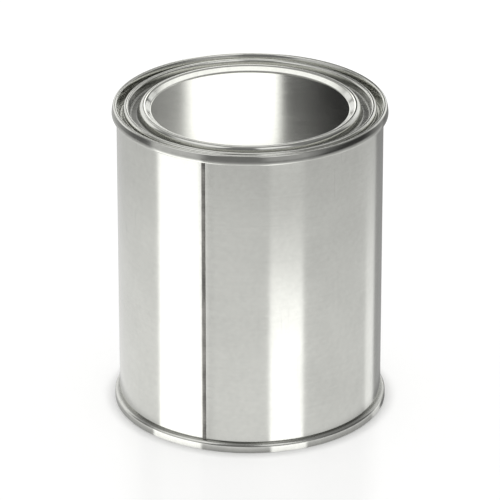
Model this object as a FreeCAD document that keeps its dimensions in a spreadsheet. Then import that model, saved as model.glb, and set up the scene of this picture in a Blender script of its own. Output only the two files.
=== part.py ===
import FreeCAD, Part
import Sketcher
import os

# A small lever-lid tin, shut: tinplate wall with a welded side seam, top ring, lid and bottom end.
#
# Units are millimetres.  The origin is the centre of the foot, on the surface that the tin stands on, and
# +Z points up through the lid.  -Y is the front of the tin, and the side seam is a little to its left.
#
# The tin is shut and its inside cannot be reached, so it is solid: every piece is filled down to flat,
# hidden faces where it meets its neighbour.  Outside, each piece has the form of the real pressing.
#
#     tin_body    the rolled wall, with the raised weld of its side seam
#     top_ring    the end that is double-seamed onto the top, with the trough and the lid's seat
#     lever_lid   the lid that is pushed into the ring: rolled edge, groove, bead and sunk panel
#     bottom_end  the end that is double-seamed onto the bottom, whose seam is the foot

# ---------------------------------------------------------------- driving dimensions

DIMENSIONS = [
    # alias, value, what it is
    ("tin_height", 101.6, "foot to the crest of the top seam"),
    ("body_diameter", 84.4, "outside of the wall"),
    ("collar_wall", 0.5, "thickness of the wall where it runs up beside an end"),
    ("fit_gap", 0.05, "gap all round between a pressed end and the wall it sits in"),
    # the double seams
    ("seam_height", 3.1, "height of each double seam"),
    ("seam_overhang", 1.5, "how far a seam stands out past the wall"),
    ("seam_inset", 0.05, "how far a seam's inner face stays inside the wall's outer face"),
    ("crest_round", 0.7, "rounding of the top seam's crest, inside and out"),
    ("crest_lean", 0.45, "how far the top seam's face leans in, from its widest line to its crest"),
    ("belly_rise", 1.1, "top seam's lower edge to its widest line"),
    ("belly_round", 4.5, "rounding of the top seam's widest line"),
    ("hem_round", 0.45, "rounding of the top seam's lower edge"),
    ("shoulder_round", 1.2, "rounding of the bottom seam's upper edge"),
    ("foot_round", 0.5, "rounding of the bottom seam's crest, which leaves a flat foot"),
    # the top ring
    ("ring_depth", 5.2, "crest to the hidden flat under the ring and the lid"),
    ("trough_depth", 3.9, "crest to the floor of the trough round the lid"),
    ("ring_wall", 0.5, "thickness of the ring between the wall and the trough's floor"),
    ("trough_floor", 0.95, "width of the trough's floor"),
    ("trough_round", 0.42, "rounding of the trough's floor"),
    ("seat_depth", 2.1, "crest to the flat seat that the lid's edge rests on"),
    ("seat_lean", 0.1, "how far the trough's inner wall leans in, up to the seat"),
    ("seat_width", 1.1, "width of the seat"),
    ("seat_round", 0.2, "rounding of the seat's outer edge"),
    # the lid
    ("plug_gap", 0.1, "gap all round between the lid's plug and the ring's bore"),
    ("edge_set_back", 0.1, "how far the lid's rolled edge stays inside the seat"),
    ("edge_drop", 0.6, "crest to the top of the lid's rolled edge"),
    ("edge_width", 1.5, "width of the lid's rolled edge"),
    ("edge_round", 0.7, "its rounding"),
    ("groove_depth", 3.3, "crest to the floor of the lid's groove"),
    ("groove_lean", 0.55, "how far each wall of the groove leans"),
    ("groove_floor", 2.5, "width of the groove's floor"),
    ("groove_round", 0.7, "rounding of the groove's floor"),
    ("bead_drop", 0.4, "crest to the top of the lid's bead"),
    ("bead_width", 1.7, "width of the bead's top, between its corners"),
    ("bead_round", 1.35, "rounding of the bead's top"),
    ("panel_drop", 1.75, "crest to the sunk panel"),
    ("panel_slope", 1.7, "width of the slope from the bead down to the panel"),
    ("panel_round", 0.6, "rounding where the slope meets the panel"),
    # the bottom end
    ("end_depth", 5.2, "foot to the hidden flat above the bottom end"),
    ("base_recess", 3.2, "foot to the sunk base"),
    ("base_lean", 1.2, "how far the recess's wall leans in, from foot to base"),
    ("base_round", 0.7, "rounding of the recess's corner"),
    ("step_inset", 8.0, "recess's corner to the stiffening step in the base"),
    ("step_width", 1.4, "width of the stiffening step"),
    ("step_rise", 0.7, "how far the middle of the base rises at the step"),
    ("step_round", 0.45, "rounding of the stiffening step"),
    ("round_share", 0.48, "the most of a face's width that each of two equal roundings may take"),
    ("lone_share", 0.82, "the most of a face's width that the large one of its roundings may take"),
    # the side seam
    ("weld_width", 1.3, "width of the side seam's weld"),
    ("weld_height", 0.2, "how far the weld stands out of the wall"),
    ("weld_round", 0.12, "rounding of the weld's long edges"),
    ("weld_angle", 250.0, "direction of the weld about +Z, from +X"),
]

# Radii and heights that follow from the driving dimensions, and that more than one piece shares.
DERIVED = [
    ("wall_radius", "=body_diameter / 2", "outside of the wall"),
    ("seam_radius", "=wall_radius + seam_overhang", "outside of both seams"),
    ("crest_inner", "=wall_radius - seam_inset", "inner face of a seam, at its crest"),
    ("crest_outer", "=seam_radius - crest_lean", "outer face of the top seam, at its crest"),
    ("crest_width", "=crest_outer - crest_inner", "width of the top seam's crest"),
    ("foot_width", "=seam_radius - crest_inner", "width of the bottom seam's crest"),
    ("collar_radius", "=wall_radius - collar_wall", "inside of the wall beside an end"),
    ("skirt_radius", "=collar_radius - fit_gap", "outside of an end, inside the wall"),
    ("trough_outer", "=skirt_radius - ring_wall", "outer corner of the trough's floor"),
    ("trough_inner", "=trough_outer - trough_floor", "inner corner of the trough's floor"),
    ("seat_radius", "=trough_inner - seat_lean", "outer edge of the seat"),
    ("bore_radius", "=seat_radius - seat_width", "bore of the ring"),
    ("plug_radius", "=bore_radius - plug_gap", "outside of the lid's plug"),
    ("edge_radius", "=seat_radius - edge_set_back", "outside of the lid's rolled edge"),
    ("edge_inner", "=edge_radius - edge_width", "inner corner of the rolled edge"),
    ("groove_outer", "=edge_inner - groove_lean", "outer corner of the groove's floor"),
    ("groove_inner", "=groove_outer - groove_floor", "inner corner of the groove's floor"),
    ("bead_outer", "=groove_inner - groove_lean", "outer corner of the bead"),
    ("bead_inner", "=bead_outer - bead_width", "inner corner of the bead"),
    ("panel_radius", "=bead_inner - panel_slope", "edge of the sunk panel"),
    ("base_radius", "=crest_inner - base_lean", "edge of the sunk base"),
    ("step_outer", "=base_radius - step_inset", "outer edge of the stiffening step"),
    ("step_inner", "=step_outer - step_width", "inner edge of the stiffening step"),
    ("step_top", "=base_recess + step_rise", "underside of the middle of the base"),
    ("body_top", "=tin_height - ring_depth", "hidden flat that carries the ring and the lid"),
    ("hem_level", "=tin_height - seam_height", "lower edge of the top seam"),
    ("belly_level", "=hem_level + belly_rise", "height of the top seam's widest line"),
    ("belly_drop", "=seam_height - belly_rise", "crest to the top seam's widest line"),
    ("seat_level", "=tin_height - seat_depth", "height of the seat"),
    ("edge_level", "=tin_height - edge_drop", "height of the rolled edge"),
    ("trough_level", "=tin_height - trough_depth", "height of the trough's floor"),
    ("groove_level", "=tin_height - groove_depth", "height of the groove's floor"),
    ("bead_level", "=tin_height - bead_drop", "height of the bead"),
    ("panel_level", "=tin_height - panel_drop", "height of the sunk panel"),
    ("edge_height", "=seat_depth - edge_drop", "height of the lid's rolled edge"),
    ("crest_fillet", "=min(crest_round; round_share * crest_width)", "rounding of the top seam's crest"),
    ("foot_fillet", "=min(foot_round; round_share * foot_width)", "rounding of the bottom seam's crest"),
    ("hem_fillet", "=min(hem_round; round_share * belly_rise)", "rounding of the top seam's lower edge"),
    ("belly_room", "=lone_share * (belly_rise - hem_fillet)", "how far its widest line's rounding may reach"),
    ("belly_fillet", "=min(belly_round; 2 * belly_room * belly_drop / crest_lean)", "and that rounding"),
    ("shoulder_fillet", "=min(shoulder_round; lone_share * seam_overhang)", "the bottom seam's upper one"),
    ("bead_fillet", "=min(bead_round; lone_share * bead_width)", "rounding of the lid's bead"),
    ("edge_fillet", "=min(edge_round; round_share * min(edge_height; edge_width))", "its rounding"),
    ("weld_inner", "=wall_radius - collar_wall / 2", "how deep the weld is rooted in the wall"),
    ("weld_outer", "=wall_radius + weld_height", "outside of the weld"),
    ("weld_half", "=weld_width / 2", "half the weld's width"),
    ("weld_length", "=tin_height - 2 * seam_height", "the weld, from seam to seam"),
]


def make_sheet(doc):
    """The spreadsheet that drives every piece: one row for each size, with its alias and meaning."""
    sheet = doc.addObject("Spreadsheet::Sheet", "Sizes")
    for row, (alias, value, meaning) in enumerate(DIMENSIONS + DERIVED, start=1):
        sheet.set(f"A{row}", alias)
        sheet.set(f"B{row}", str(value))
        sheet.set(f"C{row}", meaning)
        sheet.setAlias(f"B{row}", alias)
    doc.recompute()
    return sheet


# ---------------------------------------------------------------- helpers

X_AXIS = -1  # the sketch's own axes, as Sketcher numbers them
Y_AXIS = -2
START, END = 1, 2  # the ends of a line, as Sketcher numbers them
MATCH = 1e-4  # how near an edge has to be to a corner to be that corner's edge


def new_body(doc, name):
    """A PartDesign body whose label names its node."""
    body = doc.addObject("PartDesign::Body", name)
    body.Label = name
    return body


def origin_plane(body, role):
    """One of the body's own origin planes, such as XZ_Plane."""
    return next(plane for plane in body.Origin.OriginFeatures if plane.Role == role)


def size(sketch, alias):
    """The present value of a size in the sheet."""
    return getattr(sketch.Document.Sizes, alias)


def pin(sketch, line, end, axis, alias):
    """Holds a line's end at a distance from the sketch's origin that the sheet gives, or on the axis."""
    along_x = axis == "x"
    if alias is None:
        sketch.addConstraint(Sketcher.Constraint("PointOnObject", line, end, Y_AXIS if along_x else X_AXIS))
        return
    kind = "DistanceX" if along_x else "DistanceY"
    index = sketch.addConstraint(Sketcher.Constraint(kind, X_AXIS, START, line, end, size(sketch, alias)))
    sketch.setExpression(f"Constraints[{index}]", f"Sizes.{alias}")


def closed_outline(sketch, corners):
    """Straight lines from corner to corner and back.  A corner is two aliases, or None where it is 0."""
    points = [
        FreeCAD.Vector(*(size(sketch, alias) if alias else 0.0 for alias in corner), 0) for corner in corners
    ]
    count = len(points)
    for index in range(count):
        sketch.addGeometry(Part.LineSegment(points[index], points[(index + 1) % count]))
    for index in range(count):
        sketch.addConstraint(Sketcher.Constraint("Coincident", index, END, (index + 1) % count, START))
    for index, (across, up) in enumerate(corners):
        pin(sketch, index, START, "x", across)
        pin(sketch, index, START, "y", up)


def revolve_outline(body, corners):
    """The closed outline of (radius, height) corners, turned a full circle about the tin's axis."""
    sketch = body.newObject("Sketcher::SketchObject", body.Name + "_outline")
    sketch.AttachmentSupport = [(origin_plane(body, "XZ_Plane"), "")]
    sketch.MapMode = "FlatFace"
    closed_outline(sketch, corners)
    turned = body.newObject("PartDesign::Revolution", body.Name + "_turned")
    turned.Profile = sketch
    turned.ReferenceAxis = (sketch, ["V_Axis"])
    turned.Angle = 360.0
    body.Document.recompute()
    return turned


def ring_edges(feature, corners):
    """Names of the round edges that the outline's corners left on the turned solid."""
    sizes = feature.Document.Sizes
    wanted = [(getattr(sizes, radius), getattr(sizes, up) if up else 0.0) for radius, up in corners]
    names = []
    for number, edge in enumerate(feature.Shape.Edges, start=1):
        curve = edge.Curve
        if curve.TypeId != "Part::GeomCircle":
            continue
        here = (curve.Radius, curve.Center.z)
        if any(abs(here[0] - radius) < MATCH and abs(here[1] - up) < MATCH for radius, up in wanted):
            names.append(f"Edge{number}")
    if len(names) != len(wanted):
        raise ValueError(f"{feature.Name}: {len(names)} edges found for {len(wanted)} corners")
    return names


def round_edges(body, name, base, edges, alias):
    """A fillet over the named edges, whose radius is a size in the sheet."""
    fillet = body.newObject("PartDesign::Fillet", f"{body.Name}_{name}")
    fillet.Base = (base, edges)
    fillet.setExpression("Radius", f"Sizes.{alias}")
    body.Document.recompute()
    return fillet


def round_corners(body, base, groups):
    """One fillet for each size of rounding: groups is a list of (name, alias, corners)."""
    feature = base
    for name, alias, corners in groups:
        feature = round_edges(body, name, feature, ring_edges(feature, corners), alias)
    return feature


# ---------------------------------------------------------------- the four pieces


def make_tin_body(doc):
    """The wall, filled between the two ends, with collars that run on beside them to the seams."""
    body = new_body(doc, "tin_body")
    revolve_outline(
        body,
        [
            (None, "end_depth"),
            ("collar_radius", "end_depth"),
            ("collar_radius", "seam_height"),
            ("wall_radius", "seam_height"),
            ("wall_radius", "hem_level"),
            ("collar_radius", "hem_level"),
            ("collar_radius", "body_top"),
            (None, "body_top"),
        ],
    )
    add_weld(body)
    return body


def add_weld(body):
    """The side seam: a low flat-topped strip up the wall, from one double seam to the other."""
    sketch = body.newObject("Sketcher::SketchObject", "weld_section")
    sketch.AttachmentSupport = [(origin_plane(body, "XY_Plane"), "")]
    sketch.MapMode = "FlatFace"
    turn = FreeCAD.Rotation(FreeCAD.Vector(0, 0, 1), size(sketch, "weld_angle"))
    sketch.AttachmentOffset = FreeCAD.Placement(FreeCAD.Vector(0, 0, size(sketch, "seam_height")), turn)
    sketch.setExpression("AttachmentOffset.Base.z", "Sizes.seam_height")
    sketch.setExpression("AttachmentOffset.Rotation.Angle", "Sizes.weld_angle")

    inner, outer = size(sketch, "weld_inner"), size(sketch, "weld_outer")
    half = size(sketch, "weld_half")
    corners = [(inner, -half), (outer, -half), (outer, half), (inner, half)]
    points = [FreeCAD.Vector(across, up, 0) for across, up in corners]
    for index in range(4):
        sketch.addGeometry(Part.LineSegment(points[index], points[(index + 1) % 4]))
    for index in range(4):
        sketch.addConstraint(Sketcher.Constraint("Coincident", index, END, (index + 1) % 4, START))
    for line, kind in [(0, "Horizontal"), (2, "Horizontal"), (3, "Vertical")]:
        sketch.addConstraint(Sketcher.Constraint(kind, line))
    sketch.addConstraint(Sketcher.Constraint("Symmetric", 1, START, 1, END, X_AXIS))
    pin(sketch, 0, START, "x", "weld_inner")
    pin(sketch, 1, START, "x", "weld_outer")
    width = sketch.addConstraint(Sketcher.Constraint("DistanceY", 1, START, 1, END, 2 * half))
    sketch.setExpression(f"Constraints[{width}]", "Sizes.weld_width")

    pad = body.newObject("PartDesign::Pad", "weld")
    pad.Profile = sketch
    pad.setExpression("Length", "Sizes.weld_length")
    body.Document.recompute()
    round_edges(body, "weld_edges", pad, weld_edges(pad), "weld_round")


def weld_edges(pad):
    """The two long upright edges on the outside of the weld."""
    sizes = pad.Document.Sizes
    reach = (sizes.weld_outer**2 + sizes.weld_half**2) ** 0.5
    names = []
    for number, edge in enumerate(pad.Shape.Edges, start=1):
        middle = edge.CenterOfMass
        upright = edge.Curve.TypeId == "Part::GeomLine" and abs(edge.Length - sizes.weld_length) < MATCH
        if upright and abs((middle.x**2 + middle.y**2) ** 0.5 - reach) < MATCH:
            names.append(f"Edge{number}")
    if len(names) != 2:
        raise ValueError(f"the weld has {len(names)} outer edges")
    return names


def make_top_ring(doc):
    """The ring: double seam, trough, and the flat seat and bore that take the lid."""
    body = new_body(doc, "top_ring")
    turned = revolve_outline(
        body,
        [
            ("bore_radius", "body_top"),
            ("skirt_radius", "body_top"),
            ("skirt_radius", "hem_level"),
            ("seam_radius", "hem_level"),
            ("seam_radius", "belly_level"),
            ("crest_outer", "tin_height"),
            ("crest_inner", "tin_height"),
            ("trough_outer", "trough_level"),
            ("trough_inner", "trough_level"),
            ("seat_radius", "seat_level"),
            ("bore_radius", "seat_level"),
        ],
    )
    round_corners(
        body,
        turned,
        [
            ("crest", "crest_fillet", [("crest_outer", "tin_height"), ("crest_inner", "tin_height")]),
            ("hem", "hem_fillet", [("seam_radius", "hem_level")]),
            ("belly", "belly_fillet", [("seam_radius", "belly_level")]),
            ("trough", "trough_round", [("trough_outer", "trough_level"), ("trough_inner", "trough_level")]),
            ("seat", "seat_round", [("seat_radius", "seat_level")]),
        ],
    )
    return body


def make_lever_lid(doc):
    """The lid: a plug in the ring's bore, with a rolled edge on the seat, a groove, a bead and a panel."""
    body = new_body(doc, "lever_lid")
    turned = revolve_outline(
        body,
        [
            (None, "body_top"),
            ("plug_radius", "body_top"),
            ("plug_radius", "seat_level"),
            ("edge_radius", "seat_level"),
            ("edge_radius", "edge_level"),
            ("edge_inner", "edge_level"),
            ("groove_outer", "groove_level"),
            ("groove_inner", "groove_level"),
            ("bead_outer", "bead_level"),
            ("bead_inner", "bead_level"),
            ("panel_radius", "panel_level"),
            (None, "panel_level"),
        ],
    )
    round_corners(
        body,
        turned,
        [
            (
                "edge",
                "edge_fillet",
                [("edge_radius", "seat_level"), ("edge_radius", "edge_level"), ("edge_inner", "edge_level")],
            ),
            (
                "groove",
                "groove_round",
                [("groove_outer", "groove_level"), ("groove_inner", "groove_level")],
            ),
            ("bead", "bead_fillet", [("bead_outer", "bead_level"), ("bead_inner", "bead_level")]),
            ("panel", "panel_round", [("panel_radius", "panel_level")]),
        ],
    )
    return body


def make_bottom_end(doc):
    """The bottom end: its double seam is the foot, and its base is sunk, with a stiffening step."""
    body = new_body(doc, "bottom_end")
    turned = revolve_outline(
        body,
        [
            (None, "step_top"),
            ("step_inner", "step_top"),
            ("step_outer", "base_recess"),
            ("base_radius", "base_recess"),
            ("crest_inner", None),
            ("seam_radius", None),
            ("seam_radius", "seam_height"),
            ("skirt_radius", "seam_height"),
            ("skirt_radius", "end_depth"),
            (None, "end_depth"),
        ],
    )
    round_corners(
        body,
        turned,
        [
            ("foot", "foot_fillet", [("crest_inner", None), ("seam_radius", None)]),
            ("shoulder", "shoulder_fillet", [("seam_radius", "seam_height")]),
            ("base", "base_round", [("base_radius", "base_recess")]),
            ("step", "step_round", [("step_inner", "step_top"), ("step_outer", "base_recess")]),
        ],
    )
    return body


# ---------------------------------------------------------------- build, test and write


def check(doc, pieces):
    """Stops before anything is written if an object failed or a piece is not one valid solid."""
    failed = [item.Label for item in doc.Objects if {"Invalid", "Error"} & set(item.State)]
    if failed:
        raise RuntimeError(f"these objects failed: {failed}")
    for piece in pieces:
        shape = piece.Shape
        if shape.isNull() or not shape.isValid() or len(shape.Solids) != 1:
            raise RuntimeError(f"{piece.Label} is not one valid solid")


def main():
    doc = FreeCAD.newDocument("LeverLidTin")
    make_sheet(doc)
    pieces = [make_tin_body(doc), make_top_ring(doc), make_lever_lid(doc), make_bottom_end(doc)]
    doc.recompute()
    check(doc, pieces)
    os.makedirs("parts", exist_ok=True)
    for piece in pieces:
        piece.Shape.exportStep(f"parts/{piece.Label}.step")
        box = piece.Shape.BoundBox
        print(f"{piece.Label}: {piece.Shape.Volume:.1f} mm3, z {box.ZMin:.2f} to {box.ZMax:.2f}")


main()
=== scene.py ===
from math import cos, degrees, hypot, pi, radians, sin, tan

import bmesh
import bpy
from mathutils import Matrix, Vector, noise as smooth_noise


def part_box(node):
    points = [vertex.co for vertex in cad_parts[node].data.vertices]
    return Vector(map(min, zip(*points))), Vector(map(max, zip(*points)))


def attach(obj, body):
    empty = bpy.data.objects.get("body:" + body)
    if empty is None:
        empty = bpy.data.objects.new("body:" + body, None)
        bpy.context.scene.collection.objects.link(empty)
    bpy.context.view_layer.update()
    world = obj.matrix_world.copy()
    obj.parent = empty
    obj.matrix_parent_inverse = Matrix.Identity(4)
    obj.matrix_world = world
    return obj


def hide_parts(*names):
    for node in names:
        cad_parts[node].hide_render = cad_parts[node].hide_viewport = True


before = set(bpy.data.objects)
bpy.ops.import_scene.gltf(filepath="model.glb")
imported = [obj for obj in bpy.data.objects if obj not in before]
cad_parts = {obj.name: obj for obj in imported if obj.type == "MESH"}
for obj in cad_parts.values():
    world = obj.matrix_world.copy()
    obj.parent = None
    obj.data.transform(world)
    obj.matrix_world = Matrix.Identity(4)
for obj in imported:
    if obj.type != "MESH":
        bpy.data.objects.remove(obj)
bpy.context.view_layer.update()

# %% [markdown]
# # A lever-lid tin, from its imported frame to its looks
#
# The frame holds four solid nodes: the wall, the ring seamed onto its top, the lid pushed into that ring,
# and the bottom end. They have the right sizes, but they are faceted, and bright tinplate is nearly a
# mirror, so every facet would show. Here each node is replaced by a smooth turned piece of exactly the
# same outline.
#
# Tinplate has almost no colour of its own. What one sees is the room, bent by each bead and seam, so the
# lesson spends as much care on the light and on the table as on the metal.

MM = 0.001

# %% [markdown]
# ## Reading the frame
#
# A turned piece needs only radii and heights. They could all be typed in, but the overall ones come from
# the boxes of the nodes, so that the looks follow if the can is ever made in another size. The small
# ones, such as the roundings, are the sheet metal's own, and are given in millimetres where each piece is
# drawn.

# %% Measure the nodes
ring_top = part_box("top_ring")[1]
wall_foot, wall_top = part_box("tin_body")
base_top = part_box("bottom_end")[1]
lid_foot, lid_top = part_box("lever_lid")

RIM = ring_top.z / MM  # height of the top seam's crest
SEAM_RADIUS = ring_top.x / MM  # outside of both double seams
WALL_RADIUS = wall_top.x / MM  # outside of the wall
SEAM_HEIGHT = wall_foot.z / MM  # height of each double seam
LID_RADIUS = lid_top.x / MM  # outside of the lid's rolled edge
TOP_FLAT = lid_foot.z / MM  # hidden flat under the ring and the lid
BASE_FLAT = base_top.z / MM  # hidden flat over the bottom end
print(f"rim {RIM:.2f}, seams {SEAM_RADIUS:.2f} by {SEAM_HEIGHT:.2f}")
print(f"wall {WALL_RADIUS:.2f}, lid {LID_RADIUS:.2f}")

# %% Where the wall and its two ends meet
COLLAR_WALL = 0.5  # thickness of the wall beside an end
FIT_GAP = 0.05  # gap between an end and the wall round it
SEAM_LAP = 0.05  # how far a seam's inner face lies inside the wall's outside

COLLAR_RADIUS = WALL_RADIUS - COLLAR_WALL
SKIRT_RADIUS = COLLAR_RADIUS - FIT_GAP
SEAM_INNER = WALL_RADIUS - SEAM_LAP  # inner face of a seam, at its crest
print(f"collar {COLLAR_RADIUS:.2f}, skirt {SKIRT_RADIUS:.2f}, inside of a seam {SEAM_INNER:.2f}")

# %% [markdown]
# ## Turning a piece
#
# Every part of the tin but its side seam is round, because it was rolled or pressed in round tools. It
# could be stacked from cylinders, but then each rounding would be a piece of its own. Instead an outline
# is drawn, one extruded vertex for each corner, from the axis outwards and back, or from the bore round to
# the bore again where there is a hole, and it is spun once round the axis.

# %% Spin an outline
TURNS = 320  # straight sides in a full circle, too many to see
SAME_PLACE = 0.001  # vertices nearer than this, in mm, are one


def start_clean():
    """Leaves nothing selected and nothing in edit mode."""
    if bpy.context.object and bpy.context.object.mode != "OBJECT":
        bpy.ops.object.mode_set(mode="OBJECT")
    bpy.ops.object.select_all(action="DESELECT")


def spin_outline(name, corners):
    """A closed solid of revolution through (radius, height) corners, left in edit mode."""
    start_clean()
    first = corners[0]
    bpy.ops.mesh.primitive_plane_add(size=MM, location=(first[0] * MM, 0, first[1] * MM))
    piece = bpy.context.object
    piece.name = name
    bpy.ops.object.transform_apply(location=True)
    bpy.ops.object.mode_set(mode="EDIT")
    bpy.ops.mesh.select_mode(type="VERT")
    bpy.ops.mesh.select_all(action="SELECT")
    bpy.ops.mesh.merge(type="CENTER")
    for here, there in zip(corners, corners[1:]):
        step = ((there[0] - here[0]) * MM, 0, (there[1] - here[1]) * MM)
        bpy.ops.mesh.extrude_region_move(TRANSFORM_OT_translate={"value": step})
    bpy.ops.mesh.select_all(action="SELECT")
    bpy.ops.mesh.spin(steps=TURNS, angle=2 * pi, center=(0, 0, 0), axis=(0, 0, 1))
    bpy.ops.mesh.select_all(action="SELECT")
    bpy.ops.mesh.remove_doubles(threshold=SAME_PLACE * MM)
    bpy.ops.mesh.normals_make_consistent(inside=False)
    return piece


FLAT_LOSS = SEAM_RADIUS * (1 - cos(pi / TURNS))
print(f"{TURNS} sides lie at most {FLAT_LOSS:.4f} mm inside the true circle")

# %% [markdown]
# ## Rounding its corners
#
# Sheet metal can't be pressed to a sharp corner: each bend has the radius of the tool that made it. The
# bends could be drawn in the outline, with a handful of points for each. A sharp outline is easier to
# read and to change, so it is spun sharp, and a bevel then rounds the whole ring of edges at each corner.

# %% Round the corners
ROUND_STEPS = 6  # faces across each rounding
SNAP = 0.004  # how near an edge is to a corner, in mm, to belong to its ring


def select_ring(radius, height):
    """Selects the edges of the ring at that radius and height, and nothing else."""
    bpy.ops.mesh.select_all(action="DESELECT")
    bpy.ops.mesh.select_mode(type="EDGE")
    drawn = bmesh.from_edit_mesh(bpy.context.object.data)
    for edge in drawn.edges:
        ends = [(hypot(end.co.x, end.co.y) / MM, end.co.z / MM) for end in edge.verts]
        edge.select = all(abs(r - radius) < SNAP and abs(z - height) < SNAP for r, z in ends)
    drawn.select_flush_mode()
    bmesh.update_edit_mesh(bpy.context.object.data)


def turning_angle(before, corner, after):
    """How sharply the outline turns at a corner, in radians."""
    way_in = Vector((corner[0] - before[0], corner[1] - before[1]))
    way_out = Vector((after[0] - corner[0], after[1] - corner[1]))
    return way_in.angle(way_out)


def round_corners(corners, roundings):
    """Bevels the ring at each numbered corner to a radius in mm: roundings maps a corner's number to it."""
    for number, radius in roundings.items():
        turn = turning_angle(*corners[number - 1 : number + 2])
        select_ring(*corners[number])
        width = radius * tan(turn / 2) * MM
        bpy.ops.mesh.bevel(offset=width, segments=ROUND_STEPS, profile=0.5, affect="EDGES")


square = degrees(turning_angle((0, 0), (1, 0), (1, 1)))
print(f"a square corner turns by {square:.0f} degrees, shared by {ROUND_STEPS} faces")

# %% [markdown]
# ## Shading it
#
# Flat shading would show every facet, and plain smooth shading bends the light on a flat next to a
# rounding, which a mirror shows at once. Weighted normals let the wide faces lead, so that flats stay
# flat and only the roundings bend. Real edges, which turn sharply in one step, are kept crisp.

# %% Shade a piece, and let it stand for its node
CRISP = radians(32)  # an edge that turns more than this is a real edge


def smooth_metal(piece):
    """Smooth shading in which flats stay flat and real edges stay crisp."""
    start_clean()
    piece.select_set(True)
    bpy.context.view_layer.objects.active = piece
    bpy.ops.object.shade_smooth_by_angle(angle=CRISP)
    bpy.ops.object.modifier_add(type="WEIGHTED_NORMAL")
    weighted = piece.modifiers[-1]
    weighted.mode = "FACE_AREA"
    weighted.keep_sharp = True
    bpy.ops.object.modifier_apply(modifier=weighted.name)


def turned_piece(name, outline, node):
    """Spins an outline of (radius, height, rounding) corners and lets it stand for a node of the frame."""
    corners = [(radius, height) for radius, height, _ in outline]
    roundings = {number: corner[2] for number, corner in enumerate(outline) if corner[2]}
    piece = spin_outline(name, corners)
    round_corners(corners, roundings)
    smooth_metal(piece)
    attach(piece, "root")
    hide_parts(node)
    print(f"{name}: {len(roundings)} rounded rings, {len(piece.data.polygons)} faces")
    return piece


print(f"edges that turn more than {degrees(CRISP):.0f} degrees stay crisp")

# %% [markdown]
# ## The wall
#
# The wall is one sheet, cut square, rolled up and welded into a tube. Inside each end it stands up beside
# the pressed end as a thin collar before both are folded together into the double seam. A cylinder would
# show the same, but the collars keep the piece as closed and as exact as its node.

# %% Turn the wall
wall = turned_piece(
    "can_wall",
    [
        (0, BASE_FLAT, 0),
        (COLLAR_RADIUS, BASE_FLAT, 0),
        (COLLAR_RADIUS, SEAM_HEIGHT, 0),
        (WALL_RADIUS, SEAM_HEIGHT, 0),
        (WALL_RADIUS, RIM - SEAM_HEIGHT, 0),
        (COLLAR_RADIUS, RIM - SEAM_HEIGHT, 0),
        (COLLAR_RADIUS, TOP_FLAT, 0),
        (0, TOP_FLAT, 0),
    ],
    "tin_body",
)

# %% [markdown]
# ## The side seam
#
# Where the two edges of the sheet meet they lap by less than half a millimetre, and a wheel of copper
# wire squeezes and welds them into a flat raised strip. It could be drawn on the wall with a bump map,
# which would do from afar, but it would have no thickness at the wall's outline. So the strip is a long
# thin cube with its two outer edges rounded, cut across a hundred times.

# %% Weld the side seam
WELD_ANGLE = radians(250)  # bearing of the seam about +Z, from +X
WELD_WIDTH = 1.3
WELD_HEIGHT = 0.2  # how far it stands out of the wall
WELD_ROOT = 0.25  # how deep it is let into the wall
WELD_ROUND = 0.12
WELD_ROUND_STEPS = 3
WELD_CUTS = 100  # as many as one subdivide can make
UPRIGHT = 0.9  # an edge is upright if its rise is more than this share of its length

OUTWARDS = Vector((cos(WELD_ANGLE), sin(WELD_ANGLE), 0))
SIDEWAYS = Vector((-sin(WELD_ANGLE), cos(WELD_ANGLE), 0))


def select_upright_edges(least_reach):
    """Selects the strip's upright edges that are at least this far from the axis, in mm."""
    bpy.ops.mesh.select_all(action="DESELECT")
    drawn = bmesh.from_edit_mesh(bpy.context.object.data)
    for edge in drawn.edges:
        along = edge.verts[1].co - edge.verts[0].co
        reach = min(end.co.dot(OUTWARDS) for end in edge.verts)
        edge.select = abs(along.z) > UPRIGHT * along.length and reach > least_reach * MM
    drawn.select_flush_mode()
    bmesh.update_edit_mesh(bpy.context.object.data)


def weld_strip():
    """The raised weld, from one double seam to the other, left in edit mode."""
    start_clean()
    depth = WELD_ROOT + WELD_HEIGHT
    middle = WALL_RADIUS - WELD_ROOT + depth / 2
    bpy.ops.mesh.primitive_cube_add(
        size=MM,
        location=(middle * cos(WELD_ANGLE) * MM, middle * sin(WELD_ANGLE) * MM, RIM / 2 * MM),
        rotation=(0, 0, WELD_ANGLE),
        scale=(depth, WELD_WIDTH, RIM - 2 * SEAM_HEIGHT),
    )
    strip = bpy.context.object
    strip.name = "side_weld"
    bpy.ops.object.transform_apply(location=True, rotation=True, scale=True)
    bpy.ops.object.mode_set(mode="EDIT")
    bpy.ops.mesh.select_mode(type="EDGE")
    select_upright_edges(WALL_RADIUS + WELD_HEIGHT / 2)
    bpy.ops.mesh.bevel(offset=WELD_ROUND * MM, segments=WELD_ROUND_STEPS, profile=0.5, affect="EDGES")
    select_upright_edges(0)
    bpy.ops.mesh.subdivide(number_cuts=WELD_CUTS)
    return strip


side_weld = weld_strip()
print(f"side_weld: cut every {(RIM - 2 * SEAM_HEIGHT) / (WELD_CUTS + 1):.2f} mm")

# %% [markdown]
# ## Making the weld less perfect
#
# The real strip is a row of tiny overlapping weld spots, and its edges waver a little, where a clean
# cube's edges would be ruled lines. A Displace modifier could rough it up, but evenly all over. Here each
# cut is moved by hand-written rules: a few hundredths to and fro, by smooth noise, and inwards if it lies
# between two spots. The cuts are nearly as far apart as the spots, so this gives the strip slow waves,
# and the single spots are left to its finish.

# %% Let the weld waver
SPOT_PITCH = 1.1  # from one weld spot to the next
SPOT_HOLLOW = 0.03  # how far a cut sinks if it lies between two spots
WAVER = 0.07  # how far the strip's edges wander
WAVER_RATE = 0.6  # how fast they wander: steps of the noise for each mm of height


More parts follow.
